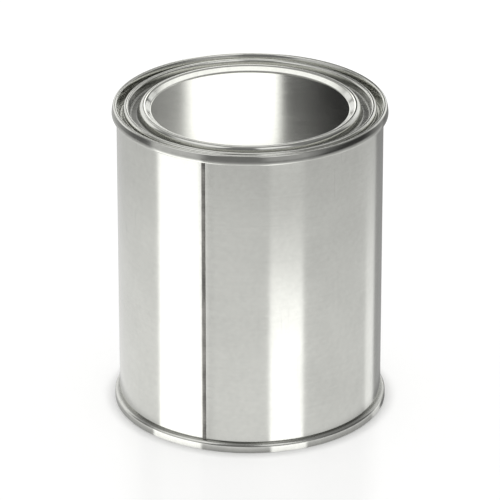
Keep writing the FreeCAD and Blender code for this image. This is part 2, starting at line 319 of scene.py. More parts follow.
def wander(strip):
    """Lets the cuts drift sideways and sink between the weld spots, without leaving the strip's own box."""
    drawn = bmesh.from_edit_mesh(strip.data)
    for vert in drawn.verts:
        height = vert.co.z / MM
        across = vert.co.dot(SIDEWAYS) / (WELD_WIDTH / 2 * MM)
        drift = smooth_noise.noise(Vector((across, 0, height * WAVER_RATE))) * 0.5 - 0.5 * abs(across)
        spot = 0.5 - 0.5 * cos(2 * pi * height / SPOT_PITCH)
        outside = vert.co.dot(OUTWARDS) > WALL_RADIUS * MM
        vert.co += SIDEWAYS * (across * drift * WAVER * MM)
        vert.co -= OUTWARDS * (spot * SPOT_HOLLOW * MM if outside else 0)
    bmesh.update_edit_mesh(strip.data)


wander(side_weld)
smooth_metal(side_weld)
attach(side_weld, "root")
print(f"side_weld: {len(side_weld.data.polygons)} faces")

# %% [markdown]
# ## The top ring
#
# The ring is pressed from one disc and folded over the wall's edge in two rollings, which leaves the high
# double seam round the top. The rollers press its face slightly inwards towards the crest, so that it
# does not mirror the table as the wall does, but the room. Inside the seam the ring drops into a trough,
# and climbs again to a flat seat round the mouth. The trough lets a coin or a screwdriver in under the
# lid.
#
# A torus for each bend could be joined to the next, but the joints would show in a mirror. One outline
# runs through all of it without a break, as the sheet does.

# %% Turn the top ring
CREST_LEAN = 0.45  # how far the seam's face leans in, up to the crest
CREST_ROUND = 0.528
BELLY_RISE = 1.1  # lower edge of the seam to its widest line
BELLY_ROUND = 4.5
HEM_ROUND = 0.45
TROUGH_DEPTH = 3.9
TROUGH_FLOOR = 0.95  # width of the trough's bottom
TROUGH_WALL = 0.5  # from the skirt in to the trough's bottom
TROUGH_LEAN = 0.1  # how far the trough's inner side leans in
TROUGH_ROUND = 0.42
SEAT_DEPTH = 2.1
SEAT_WIDTH = 1.1
SEAT_ROUND = 0.2

TROUGH_OUTER = SKIRT_RADIUS - TROUGH_WALL
TROUGH_INNER = TROUGH_OUTER - TROUGH_FLOOR
SEAT_RADIUS = TROUGH_INNER - TROUGH_LEAN
BORE_RADIUS = SEAT_RADIUS - SEAT_WIDTH

top_ring = turned_piece(
    "seamed_top_ring",
    [
        (BORE_RADIUS, TOP_FLAT, 0),
        (SKIRT_RADIUS, TOP_FLAT, 0),
        (SKIRT_RADIUS, RIM - SEAM_HEIGHT, 0),
        (SEAM_RADIUS, RIM - SEAM_HEIGHT, HEM_ROUND),
        (SEAM_RADIUS, RIM - SEAM_HEIGHT + BELLY_RISE, BELLY_ROUND),
        (SEAM_RADIUS - CREST_LEAN, RIM, CREST_ROUND),
        (SEAM_INNER, RIM, CREST_ROUND),
        (TROUGH_OUTER, RIM - TROUGH_DEPTH, TROUGH_ROUND),
        (TROUGH_INNER, RIM - TROUGH_DEPTH, TROUGH_ROUND),
        (SEAT_RADIUS, RIM - SEAT_DEPTH, SEAT_ROUND),
        (BORE_RADIUS, RIM - SEAT_DEPTH, 0),
        (BORE_RADIUS, TOP_FLAT, 0),
    ],
    "top_ring",
)

# %% [markdown]
# ## The lid
#
# The lid is a plug with a rolled edge. Pushed in, its groove wedges in the ring's bore and the rolled
# edge lands on the seat. Inside the groove a rounded bead stiffens it, and the middle is sunk a little so
# that cans can be stacked.
#
# It could be sculpted from a disc by insetting and pushing its face. The outline does the same with all
# depths given from the rim, and says at once which bend lies over which.

# %% Turn the lid
PLUG_GAP = 0.1  # between the lid's plug and the ring's bore
EDGE_DROP = 0.6
EDGE_WIDTH = 1.5
EDGE_ROUND = 0.7
GROOVE_DEPTH = 3.3
GROOVE_LEAN = 0.55  # how far each side of the groove leans
GROOVE_FLOOR = 2.5  # width of the groove's bottom
GROOVE_ROUND = 0.7
BEAD_DROP = 0.4
BEAD_WIDTH = 1.7
BEAD_ROUND = 1.35
PANEL_DROP = 1.75
PANEL_SLOPE = 1.7  # width of the slope from the bead down to the panel
PANEL_ROUND = 0.6

PLUG_RADIUS = BORE_RADIUS - PLUG_GAP
EDGE_INNER = LID_RADIUS - EDGE_WIDTH
GROOVE_OUTER = EDGE_INNER - GROOVE_LEAN
GROOVE_INNER = GROOVE_OUTER - GROOVE_FLOOR
BEAD_OUTER = GROOVE_INNER - GROOVE_LEAN
BEAD_INNER = BEAD_OUTER - BEAD_WIDTH
PANEL_RADIUS = BEAD_INNER - PANEL_SLOPE

lid = turned_piece(
    "lever_lid_pressing",
    [
        (0, TOP_FLAT, 0),
        (PLUG_RADIUS, TOP_FLAT, 0),
        (PLUG_RADIUS, RIM - SEAT_DEPTH, 0),
        (LID_RADIUS, RIM - SEAT_DEPTH, EDGE_ROUND),
        (LID_RADIUS, RIM - EDGE_DROP, EDGE_ROUND),
        (EDGE_INNER, RIM - EDGE_DROP, EDGE_ROUND),
        (GROOVE_OUTER, RIM - GROOVE_DEPTH, GROOVE_ROUND),
        (GROOVE_INNER, RIM - GROOVE_DEPTH, GROOVE_ROUND),
        (BEAD_OUTER, RIM - BEAD_DROP, BEAD_ROUND),
        (BEAD_INNER, RIM - BEAD_DROP, BEAD_ROUND),
        (PANEL_RADIUS, RIM - PANEL_DROP, PANEL_ROUND),
        (0, RIM - PANEL_DROP, 0),
    ],
    "lever_lid",
)

# %% [markdown]
# ## The bottom end
#
# The bottom is seamed on like the ring, and its seam is the foot. The base is sunk, so that only the seam
# touches the table, and a low step lets it bulge and fall back as the can warms and cools. A flat disc
# would do for most pictures, since it is rarely seen, but a can that is tipped over shows it, so it is
# turned from an outline like the rest.

# %% Turn the bottom end
FOOT_ROUND = 0.5
SHOULDER_ROUND = 1.2
BASE_RECESS = 3.2
BASE_LEAN = 1.2  # how far the recess narrows, from the foot in to the base
BASE_ROUND = 0.7
BASE_MARGIN = 8.0  # flat ring between the recess's side and the step
STEP_SLOPE = 1.4
STEP_RISE = 0.7
STEP_ROUND = 0.45

BASE_RADIUS = SEAM_INNER - BASE_LEAN
STEP_OUTER = BASE_RADIUS - BASE_MARGIN
STEP_INNER = STEP_OUTER - STEP_SLOPE

bottom = turned_piece(
    "seamed_bottom_end",
    [
        (0, BASE_RECESS + STEP_RISE, 0),
        (STEP_INNER, BASE_RECESS + STEP_RISE, STEP_ROUND),
        (STEP_OUTER, BASE_RECESS, STEP_ROUND),
        (BASE_RADIUS, BASE_RECESS, BASE_ROUND),
        (SEAM_INNER, 0, FOOT_ROUND),
        (SEAM_RADIUS, 0, FOOT_ROUND),
        (SEAM_RADIUS, SEAM_HEIGHT, SHOULDER_ROUND),
        (SKIRT_RADIUS, SEAM_HEIGHT, 0),
        (SKIRT_RADIUS, BASE_FLAT, 0),
        (0, BASE_FLAT, 0),
    ],
    "bottom_end",
)

# %% [markdown]
# ## Writing shader maths as sums
#
# A material is a net of small boxes, and a formula of ten terms would be thirty lines of links. The net
# could be drawn by hand in the shader editor, but then it could not be read as text. The class below
# wraps one socket, so that plus, minus and times between two of them add the Math node that does it.

# %% The socket that can do sums


def set_stops(ramp, stops):
    """Gives a colour ramp its stops: a list of (place, colour)."""
    while len(ramp.elements) < len(stops):
        ramp.elements.new(1.0)
    for element, (place, colour) in zip(ramp.elements, stops):
        element.position = place
        element.color = (*colour, 1.0)


class Wire:
    """An output socket that Python's arithmetic works on, in the node tree it belongs to."""

    def __init__(self, tree, socket=None):
        self.tree = tree
        self.socket = socket

    def node(self, kind, settings=None, inputs=None, output=0):
        """Adds any node: its settings first, then the values or links of its sockets, by name or number."""
        made = self.tree.nodes.new(kind)
        for name, value in (settings or {}).items():
            if name == "stops":
                set_stops(made.color_ramp, value)
            else:
                setattr(made, name, value)
        for name, value in (inputs or {}).items():
            if isinstance(value, Wire):
                self.tree.links.new(value.socket, made.inputs[name])
            else:
                made.inputs[name].default_value = value
        return Wire(self.tree, made.outputs[output])

    def math(self, operation, *values):
        """One Math node, fed with these values or links."""
        return self.node("ShaderNodeMath", {"operation": operation}, dict(enumerate(values)))

    def __add__(self, other):
        return self.math("ADD", self, other)

    __radd__ = __add__

    def __mul__(self, other):
        return self.math("MULTIPLY", self, other)

    __rmul__ = __mul__

    def __sub__(self, other):
        return self.math("SUBTRACT", self, other)

    def __rsub__(self, other):
        return self.math("SUBTRACT", other, self)

    def __truediv__(self, other):
        return self.math("DIVIDE", self, other)

    def __abs__(self):
        return self.math("ABSOLUTE", self)

    def part(self, axis):
        """The x, y or z of a vector, by number."""
        return self.node("ShaderNodeSeparateXYZ", {}, {0: self}, axis)

    def length(self):
        """The length of a vector."""
        return self.node("ShaderNodeVectorMath", {"operation": "LENGTH"}, {0: self}, "Value")

    def dot(self, vector):
        """How far a vector goes along another one."""
        settings = {"operation": "DOT_PRODUCT"}
        return self.node("ShaderNodeVectorMath", settings, {0: self, 1: vector}, "Value")

    def ramp(self, start, end, low=0.0, high=1.0):
        """This value carried smoothly from low to high as it goes from start to end."""
        inputs = {"Value": self, "From Min": start, "From Max": end, "To Min": low, "To Max": high}
        return self.node("ShaderNodeMapRange", {"interpolation_type": "SMOOTHSTEP"}, inputs)

    def band(self, start, end, soft):
        """1 between start and end and 0 outside, with edges this soft."""
        rise = self.ramp(start - soft / 2, start + soft / 2)
        return rise * self.ramp(end - soft / 2, end + soft / 2, 1.0, 0.0)


print("a wire knows + - * / and abs(), and ramp and band for masks")

# %% [markdown]
# ## Starting a material, and putting it on
#
# Blender starts each material with a grey finish. It could be kept and changed, but an empty net shows
# everything that a finish is made of. A piece gets one material, as each pressing is of one sheet.

# %% Start a material and paint a piece


def new_material(name):
    """An empty material, with a wire to start its net from and its output node."""
    material = bpy.data.materials.new(name)
    material.use_nodes = True
    material.node_tree.nodes.clear()
    output = material.node_tree.nodes.new("ShaderNodeOutputMaterial")
    return material, Wire(material.node_tree), output


def paint(piece, material):
    """Makes this the piece's only material."""
    piece.data.materials.clear()
    piece.data.materials.append(material)
    print(f"{piece.name}: painted with {material.name}, {len(material.node_tree.nodes)} nodes")


print("pieces to paint:", ", ".join(piece.name for piece in (wall, side_weld, top_ring, lid, bottom)))

# %% [markdown]
# ## Noise that is stretched
#
# Most marks on metal run one way: rolling lines, scratches, the waves in a sheet. They could each be
# drawn as lines, but noise whose place is scaled more along one axis than along the others gives all of
# them, thin across that axis and long along the rest, and no two are alike.

# %% Noise, and noise with a direction
SCRATCH_STRETCH = (2600, 60, 60)
SCRATCH_PATCHES = 38.0


def noise(wire, vector, scale, detail=2.0, rough=0.5):
    """Smooth noise, around a half."""
    inputs = {"Vector": vector, "Scale": scale, "Detail": detail, "Roughness": rough}
    return wire.node("ShaderNodeTexNoise", {"noise_dimensions": "3D"}, inputs)


def stretched(wire, place, stretch, turn=(0, 0, 0)):
    """The place on the piece, scaled along each axis and then turned, for another set of the same marks."""
    return wire.node("ShaderNodeMapping", {}, {"Vector": place, "Rotation": turn, "Scale": stretch})


def scratches(wire, place, turn):
    """One set of thin scratches, in patches: 1 in a scratch and 0 beside it."""
    streak = noise(wire, stretched(wire, place, SCRATCH_STRETCH, turn), 1.0, 1.0)
    patch = noise(wire, place, SCRATCH_PATCHES, 1.0)
    return streak.ramp(0.72, 0.76) * patch.ramp(0.5, 0.62)


print(f"scratches are {SCRATCH_STRETCH[0] / SCRATCH_STRETCH[1]:.0f} times longer than wide")

# %% [markdown]
# ## Tinplate
#
# Tinplate is steel sheet with a skin of tin a thousandth of a millimetre thick. It is a metal, so its
# colour is the tint of its reflection: a warm, slightly green grey. The mill's rolls leave fine parallel
# lines in it, which soften a reflection, and the tin's crystals mottle it faintly. An even grey with one
# roughness would look like plastic chrome. So the finish is built from those causes: lines that differ in
# depth, broad mottling, a few thin scratches, and a dulling where hands and other cans have rubbed.

# %% A tinplate for each pressing
TIN = (0.70, 0.703, 0.664)
MOTTLE = 55.0  # broad clouds: how many to a metre
CRYSTALS = 620.0
SMEARS = 18.0
SCRATCH_SETS = ((0.3, 0.9, 0.4), (1.2, -0.5, 2.1))  # turns of the noise, one for each set
BUMP_STRENGTH = 0.15


def tinplate(name, grain, roughness, relief, tint=TIN, marks=None):
    """A bright rolled finish. grain scales each axis to draw the lines, and relief is their depth in mm."""
    material, wire, output = new_material(name)
    place = wire.node("ShaderNodeTexCoord", output="Object")
    lines = noise(wire, stretched(wire, place, grain), 1.0, 3.0, 0.65)
    mottle = noise(wire, place, MOTTLE, 3.0, 0.6)
    crystals = noise(wire, place, CRYSTALS, 2.0, 0.6)
    smear = noise(wire, place, SMEARS, 2.0, 0.55).ramp(0.52, 0.72)
    scratched = scratches(wire, place, SCRATCH_SETS[0]) + scratches(wire, place, SCRATCH_SETS[1])
    shade = 1.0 + (lines - 0.5) * 0.10 + (mottle - 0.5) * 0.20 + (crystals - 0.5) * 0.12
    shade = shade - smear * 0.04 - scratched * 0.04
    rough = roughness + (lines - 0.5) * 0.08 + (mottle - 0.5) * 0.06 + smear * 0.05 + scratched * 0.08
    height = lines * 0.35 + mottle * 0.6 - scratched * 0.1
    if marks:
        shade, rough, height = marks(wire, place, shade, rough, height)
    grey = wire.node("ShaderNodeCombineColor", {}, {0: shade, 1: shade, 2: shade})
    settings = {"data_type": "RGBA", "blend_type": "MULTIPLY"}
    colour = wire.node("ShaderNodeMix", settings, {"Factor": 1.0, 6: (*tint, 1), 7: grey}, 2)
    bumps = {"Strength": BUMP_STRENGTH, "Distance": relief * MM, "Height": height}
    bump = wire.node("ShaderNodeBump", {}, bumps)
    finish = {"Base Color": colour, "Metallic": 1.0, "Roughness": rough, "Normal": bump}
    surface = wire.node("ShaderNodeBsdfPrincipled", {}, finish)
    wire.tree.links.new(surface.socket, output.inputs["Surface"])
    return material


print("tin's tint:", TIN)

# %% [markdown]
# ## The wall's finish
#
# The heat of the weld dulls and darkens the bright tin for a few millimetres on both sides, more on one
# side than the other, and the rolled sheet has long soft waves in it. Both could be painted on an image.
# They are made from the place on the piece instead, the heat from the distance to the seam, so that they
# stay sharp however near one looks, and a change of the seam's bearing takes the heat with it.

# %% Paint the wall
HEAT_LEFT = 2.2  # how far the weld's heat shows to its left, in mm
HEAT_RIGHT = 4.5
HEAT_MOST = 0.4  # it is full up to here
HEAT_SPLIT = 0.1  # the two sides meet in a strip of this half width
SEAM_SIDE = (30, 34)  # the heat shows only this far out towards the seam, in mm from the axis
WALL_LINES = (30, 30, 2500)


def heat_and_waves(wire, place, shade, rough, height):
    """Marks of the wall: the weld's heat, and long soft waves in the rolled sheet."""
    across = place.dot(SIDEWAYS)
    near = place.dot(OUTWARDS).ramp(SEAM_SIDE[0] * MM, SEAM_SIDE[1] * MM)
    split = HEAT_SPLIT * MM
    left = across.ramp(-HEAT_LEFT * MM, -HEAT_MOST * MM) * across.ramp(-split, split, 1.0, 0.0)
    right = across.ramp(HEAT_MOST * MM, HEAT_RIGHT * MM, 1.0, 0.0) * across.ramp(-split, split)
    patchy = noise(wire, stretched(wire, place, (120, 120, 260)), 1.0, 2.0)
    heat = (left * 0.7 + right) * near * patchy.ramp(0.2, 0.7, 0.55, 1.0)
    waves = noise(wire, stretched(wire, place, (22, 22, 9)), 1.0, 1.0)
    return shade - heat * 0.17, rough + heat * 0.08, height + waves * 8.0


paint(wall, tinplate("rolled_tinplate_wall", WALL_LINES, 0.15, 0.05, marks=heat_and_waves))

# %% [markdown]
# ## The ring's finish
#
# Cans knock together at their seams, so the ring's widest line is rubbed dull in places, and its trough is
# given painted shade, darker with depth. A second, darker material could be given to some faces, but its
# edge would be as hard as theirs. Masks of height and of distance from the axis fade in softly, as shade
# does.

# %% Paint the top ring
RUB_TOP = 1.4  # the rubbed band, in mm below the rim
RUB_FOOT = 2.6
RUB_SOFT = 0.9
RECESS_SHADE_TOP = 0.6  # painted shade begins here, in mm below the rim
RECESS_SHADE_FOOT = 2.9  # and is at its deepest here
TROUGH_PAINTED_SHADE = 0.2  # painted shade: how much the bottom of the trough is darkened, and roughened
RING_LINES = (90, 90, 90)  # the same every way, so soft clouds instead of lines


def from_axis(wire, place):
    """How far the place is from the can's axis, in metres."""
    return stretched(wire, place, (1, 1, 0)).length()


def shade_by_depth(up, most):
    """Painted shade, deeper with the depth below the rim."""
    return up.ramp((RIM - RECESS_SHADE_FOOT) * MM, (RIM - RECESS_SHADE_TOP) * MM, most, 0.0)


def rubbed_crest_and_trough_shade(wire, place, shade, rough, height):
    """Marks of the ring: the seam's widest line is rubbed, and the trough is given painted shade."""
    up = place.part(2)
    worn = noise(wire, stretched(wire, place, (160, 160, 700)), 1.0, 3.0, 0.6)
    rub = up.band((RIM - RUB_FOOT) * MM, (RIM - RUB_TOP) * MM, RUB_SOFT * MM) * worn.ramp(0.42, 0.68)
    # painted shade: the trough inside the seam is darkened and roughened, more with depth
    inside = from_axis(wire, place).ramp(SKIRT_RADIUS * MM, (SKIRT_RADIUS + 0.4) * MM, 1.0, 0.0)
    recess_shade = shade_by_depth(up, TROUGH_PAINTED_SHADE) * inside
    return shade - rub * 0.10 - recess_shade, rough + rub * 0.14 + recess_shade * 0.3, height


paint(top_ring, tinplate("pressed_tinplate_ring", RING_LINES, 0.12, 0.015, marks=rubbed_crest_and_trough_shade))

# %% [markdown]
# ## The lid's finish
#
# The press leaves faint rings round the lid, outside its flat panel, and its groove is given painted shade,
# darker with depth. The rings could be turned into the outline, but they are far too shallow to be shape.
# They are noise that reads only the distance from the axis, so that it is the same all the way round.

# %% Paint the lid
GROOVE_PAINTED_SHADE = 0.5  # painted shade: how much the bottom of the groove is darkened, and roughened
PRESSED_FROM = 26  # the rings of the press begin here, in mm from the axis
PRESSED_FULL = 31
PRESSED_FINE = 2400.0
LID_LINES = (40, 1800, 40)


def pressed_rings_and_groove_shade(wire, place, shade, rough, height):
    """Marks of the lid: faint rings left by the press, and painted shade in the groove."""
    out = from_axis(wire, place)
    rings = noise(wire, wire.node("ShaderNodeCombineXYZ", {}, {0: out}), PRESSED_FINE, 2.0)
    rings = (rings - 0.5) * out.ramp(PRESSED_FROM * MM, PRESSED_FULL * MM)
    # painted shade: the groove outside the bead is darkened and roughened, more with depth
    recess_shade = shade_by_depth(place.part(2), GROOVE_PAINTED_SHADE) * out.ramp(BEAD_OUTER * MM, GROOVE_INNER * MM)
    return shade + rings * 0.06 - recess_shade, rough + rings * 0.06 + recess_shade * 0.3, height + rings * 0.12


paint(lid, tinplate("pressed_tinplate_lid", LID_LINES, 0.12, 0.02, marks=pressed_rings_and_groove_shade))

# %% [markdown]
# ## The bottom's finish
#
# The foot is dulled by every shelf it has slid over, and the corner between its seam and the wall is given
# painted shade. An ambient occlusion node would find such corners by itself, but it is slow and noisy. The
# corner is a known radius and height, so two ramps find it too.

# %% Paint the bottom end
CORNER_SHADE = 0.42  # painted shade: how much the corner between the foot's seam and the wall is darkened
BOTTOM_LINES = (40, 1500, 40)


def scuffed_foot_and_corner_shade(wire, place, shade, rough, height):
    """Marks of the bottom: shelves dull the foot, and painted shade darkens the corner between its seam and
    wall.
    """
    up = place.part(2)
    worn = noise(wire, stretched(wire, place, (240, 240, 500)), 1.0, 3.0, 0.65)
    scuff = up.ramp(0.2 * MM, 0.9 * MM, 1.0, 0.15) * worn.ramp(0.3, 0.62)
    inner, outer = (WALL_RADIUS + 0.2) * MM, (WALL_RADIUS + 1.4) * MM
    # painted shade in the corner between the foot's seam and the wall
    corner = from_axis(wire, place).ramp(inner, outer, CORNER_SHADE, 0.0) * up.ramp(1.0 * MM, 2.2 * MM)
    return shade - scuff * 0.16 - corner, rough + scuff * 0.22 + corner * 0.2, height + worn * scuff * 0.8


paint(bottom, tinplate("pressed_tinplate_base", BOTTOM_LINES, 0.15, 0.03, marks=scuffed_foot_and_corner_shade))

# %% [markdown]
# ## The weld's finish
#
# The weld has lost its tin: it is bare burnt steel, dark and dull, and its left flank is painted lighter, a
# painted reflection of the bright band beside it. Each spot is darker at its edge, and the heat varied
# along it. One dark grey would do at a distance. Up close a cosine of the height draws the row of spots,
# however few cuts the strip has, and noise makes it uneven.

# %% Paint the weld
BURNT = (0.23, 0.225, 0.21)
WELD_LINES = (300, 300, 900)


def weld_spots_and_flank_highlight(wire, place, shade, rough, height):
    """Marks of the weld: each spot is darker at its edge, the heat varied along it, and its left flank is a
    painted reflection.
    """
    turn = place.part(2) * (2 * pi / (SPOT_PITCH * MM))
    spot = wire.math("COSINE", turn) * 0.5 + 0.5
    # painted reflection: the left flank is lightened, as the bright band beside it would be mirrored there
    painted_flank = place.dot(SIDEWAYS).ramp(-0.6 * MM, -0.2 * MM, 1.0, 0.0)
    uneven = noise(wire, stretched(wire, place, (260, 260, 130)), 1.0, 3.0, 0.6).ramp(0.3, 0.7, -0.3, 0.3)
    return shade - (1.0 - spot) * 0.2 + painted_flank * 0.8 + uneven, rough + spot * 0.05, height


paint(side_weld, tinplate("welded_tinplate", WELD_LINES, 0.36, 0.06, BURNT, weld_spots_and_flank_highlight))

# %% [markdown]
# ## What the tin mirrors
#
# A mirror has no look of its own, so whoever shows silver in a shop window sets cards and lamps round it,
# out of sight. Real lamps could do it here too, but they would light the table as well, and unevenly. So
# the tones below are seen only by rays that come from the eye by way of the metal, or of the table's faint
# sheen. All other light is plain and even, so that the finish is judged at its written colour.

# %% Rays from the eye by way of the metal
BRIGHTEST = 2.0  # the tone that a ramp's white stands for


def mirrored(wire):
    """1 for what the eye sees mirrored, and 0 for light that has touched anything matt."""
    glossy = wire.node("ShaderNodeLightPath", output="Is Glossy Ray")
    matt = wire.node("ShaderNodeLightPath", output="Diffuse Depth")
    return glossy * (1.0 - wire.math("MINIMUM", matt, 1.0))


def bearing_of(wire, way):
    """The bearing of a direction, in radians from the front (-Y) towards the right (+X)."""
    return wire.math("ARCTAN2", way.part(0), way.part(1) * -1.0)


def tone_round(wire, bearing, tones):
    """The tone at a bearing: tones is a list of (degrees from the front towards the right, tone)."""
    stops = [(degrees_right / 360 + 0.5, (tone / BRIGHTEST,) * 3) for degrees_right, tone in tones]
    turn = bearing * (1 / (2 * pi)) + 0.5
    return wire.node("ShaderNodeValToRGB", {"stops": stops}, {0: turn}) * BRIGHTEST


print(f"tones may go up to {BRIGHTEST}, where 1 is the white of the background")

# %% [markdown]
# ## The table
#
# The can stands on a white board with a faint sheen. The board could be curved up behind the can, as in a
# studio, but the eye looks down and sees nothing beyond it. So a flat one is enough.

# %% Lay the table
TABLE_SIZE = 6  # in metres
start_clean()
bpy.ops.mesh.primitive_plane_add(size=TABLE_SIZE, location=(0, 0, 0))
table = bpy.context.object
table.name = "table"
print(f"{table.name}: {table.dimensions.x:.0f} by {table.dimensions.y:.0f} m")

# %% [markdown]
# ## Sectors of the table
#
# The wall is upright and the eye looks down on it, so all that the wall mirrors is the table. At each
# bearing the wall turns a line of sight by twice that bearing, and what it mirrors there, from foot to
# shoulder, is one straight line of the table. An upright band on the wall is therefore a sector of the
# table, between the lines of two bearings. Cards laid flat by eye could make the same bands, but these
# follow the wall's radius.

# %% Find the sector that a band mirrors


def sweep(wire, place, bearing, spread):
    """0 to 1 across the line on the table that the wall mirrors at this bearing from the front."""
    turn = radians(bearing)
    start = Vector((sin(turn), -cos(turn))) * WALL_RADIUS * MM
    heading = Vector((sin(2 * turn), -cos(2 * turn)))
    focus = start - heading * WALL_RADIUS * MM * cos(turn) / 2
    offset = wire.node("ShaderNodeVectorMath", {"operation": "SUBTRACT"}, {0: place, 1: (*focus, 0)})
    return (offset.dot((-heading.y, heading.x, 0)) / offset.length()).ramp(-spread, spread)


def sector(wire, place, first, last, spread=0.03):
    """1 on the part of the table that the wall mirrors between two bearings."""
    return sweep(wire, place, first, spread) * (1.0 - sweep(wire, place, last, spread))


for bearing in (0, 20, 40):
    print(f"{bearing} degrees from its front the wall mirrors a line that heads {2 * bearing} degrees off")

# %% [markdown]
# ## The table in the metal
#
# In the metal the table is pale beside the can and darker far off, and two bright sectors cross it. They
# make the two bright bands of the wall, one beside the seam and one that fades upwards. Bearings are in
# degrees from the front towards the right, and distances in metres from the can's axis.

# %% Tones of the table
BAND_LEFT = (-43.0, -20.0)  # bearings on the wall of the bright band left of the front
BAND_RIGHT = (8.5, 23.5)
EDGE_LINE = (61.0, 69.0)  # the light line near the wall's right edge
EDGE_SHADE = (70.0, 88.0)  # and the shade beside it
BAND_LEFT_TONE = 0.9
BAND_RIGHT_TONE = 0.85
EDGE_SOFT = 0.05  # how soft the line and the shade are
EDGE_DEPTH = 0.48  # how dark the shade is
NEAR_TONE = 0.855  # the table beside the can
FAR_TONE = 0.25  # and far off
FOOT_SHADOW_TONE = 0.5  # painted shadow of the can: how much of the table's tone is left right at the foot
FOOT_SHADOW_END = 0.051
TABLE_TONES = [  # how bright the table is at each bearing
    (-180, 1.2),
    (-176, 1.7),
    (-164, 1.7),
    (-160, 0.9),
    (-150, 0.94),
    (-90, 1.05),
    (-30, 1.0),
    (0, 1.0),
    (60, 0.91),
    (95, 0.88),
    (120, 0.92),
    (165, 0.8),
    (180, 1.2),
]
DUSK_TONES = [  # how dark the far table is at each bearing
    (-180, 0),
    (-130, 0),
    (-110, 0.6),
    (-92, 0.6),
    (-80, 0),
    (48, 0),
    (62, 0.85),
    (110, 0.85),
    (130, 0),
]
for first, last in (BAND_LEFT, BAND_RIGHT):
    band_width = radians(last - first) * WALL_RADIUS
    print(f"a bright band of {last - first:.0f} degrees is {band_width:.0f} mm wide")

# %% Mix the tones of the table


def table_tone(wire, place):
    """The table as the metal sees it: pale beside the can, darker far off, and crossed by sectors."""
    far = place.length()
    ground = far.ramp(0.05, 0.60, NEAR_TONE, FAR_TONE)
    # painted shadow: the table as mirrored darkens towards the can's foot
    ground = ground * far.ramp(SEAM_RADIUS * MM, FOOT_SHADOW_END, FOOT_SHADOW_TONE, 1.0)
    around = tone_round(wire, bearing_of(wire, place), TABLE_TONES)
    left = sector(wire, place, *BAND_LEFT) * far.ramp(0.27, 0.45, 1.0, 0.35)
    near_right = far.ramp(0.10, 0.24, 1.0, 0.05) + far.band(0.26, 0.31, 0.03) * 0.15
    right = sector(wire, place, *BAND_RIGHT) * near_right
    line = sector(wire, place, *EDGE_LINE, EDGE_SOFT) * far.ramp(0.06, 0.25, 0.35, 0.0)
    shade = sector(wire, place, *EDGE_SHADE, EDGE_SOFT) * EDGE_DEPTH
    dusk = far.ramp(0.40, 0.90) * tone_round(wire, bearing_of(wire, place), DUSK_TONES)
    bands = left * BAND_LEFT_TONE + right * BAND_RIGHT_TONE + line
    return ground * around * (1.0 - shade) * (1.0 - dusk) + bands


print(f"the table goes from {NEAR_TONE} beside the can to {FAR_TONE} far off")

# %% [markdown]
# ## The table's own finish
#
# A white board in even light still comes out as a very pale grey, and the background should be white. More
# light would do it, but would bleach the can as well. So the board adds a little glow that only the eye
# sees, less of it at the foot, where the can's shadow belongs.

# %% Paint the table
BLEACH = 0.30  # how much whiter the eye sees the board than the light on it makes it
FOOT_BLEACH = 0.10  # the same right at the foot, where the can's shadow belongs
FOOT_END = 0.048  # that shadow ends here, in metres from the axis
HALO = 0.03  # what the board gets more just beyond, where the can still takes some of its light
HALO_END = 0.08
BOARD = (0.93, 0.93, 0.925, 1)


def table_finish():
    """A white board to the eye and to plain light, and the tones to what is mirrored."""
    material, wire, output = new_material("pale_board")
    place = wire.node("ShaderNodeTexCoord", output="Object")
    board = {"Base Color": BOARD, "Roughness": 0.15, "Specular IOR Level": 0.3}
    white = wire.node("ShaderNodeBsdfPrincipled", {}, board)
    far = place.length()
    bleach = far.ramp(SEAM_RADIUS * MM, FOOT_END, FOOT_BLEACH, BLEACH + HALO)
    bleach = bleach - far.ramp(FOOT_END, HALO_END, 0.0, HALO)
    eye = wire.node("ShaderNodeLightPath", output="Is Camera Ray")
    lit = wire.node("ShaderNodeEmission", {}, {"Strength": eye * bleach})
    plain = wire.node("ShaderNodeAddShader", {}, {0: white, 1: lit})
    seen = wire.node("ShaderNodeEmission", {}, {"Strength": table_tone(wire, place)})
    both = wire.node("ShaderNodeMixShader", {}, {0: mirrored(wire), 1: plain, 2: seen})
    wire.tree.links.new(both.socket, output.inputs["Surface"])
    return material


paint(table, table_finish())

# %% [markdown]
# ## The card behind the can
#
# The lid's panel is level, so it mirrors what stands behind the can, from a little above the rim upwards.
# The far room would tint the whole panel evenly, as its rays are nearly parallel. A striped card close
# behind gives it three stripes instead, grey, white and dark, as if other cans stood there. The eye sees
# the card only in the metal.

# %% Make a card that shows only where it is mirrored


def stand_card(name, middle, turn, wide, long):
    """A flat card of this size, in metres, turned about X, that shows only where it is mirrored."""
    start_clean()
    bpy.ops.mesh.primitive_plane_add(size=1, location=middle, rotation=(turn, 0, 0))
    made = bpy.context.object
    made.name = name
    made.scale = (wide, long, 1)
    bpy.ops.object.transform_apply(location=True, rotation=True, scale=True)
    made.visible_camera = False
    made.visible_shadow = False
    made.visible_diffuse = False
    print(f"{name}: {wide:.3f} by {long:.3f} m at {middle}")
    return made


def card_finish(name, white, pattern):
    """A glowing card: pattern gives its tone from the place on it."""
    material, wire, output = new_material(name)
    tone = pattern(wire, wire.node("ShaderNodeTexCoord", output="Object"))
    glow = wire.node("ShaderNodeEmission", {}, {"Color": white, "Strength": tone})
    wire.tree.links.new(glow.socket, output.inputs["Surface"])
    return material


print("cards are hidden from the camera, and from shadow and diffuse rays")

# %% Stand the striped card behind the can
CARD_WHITE = (1, 1, 0.98, 1)
CARD_AWAY = 0.15
CARD_WIDE = 0.10
CARD_FOOT = 0.138
CARD_HEAD = 0.300
STRIPES_END = (0.1775, 0.1805)  # above this height the card is plain, from grey on the left to dark
WHITE_TONE = 1.75


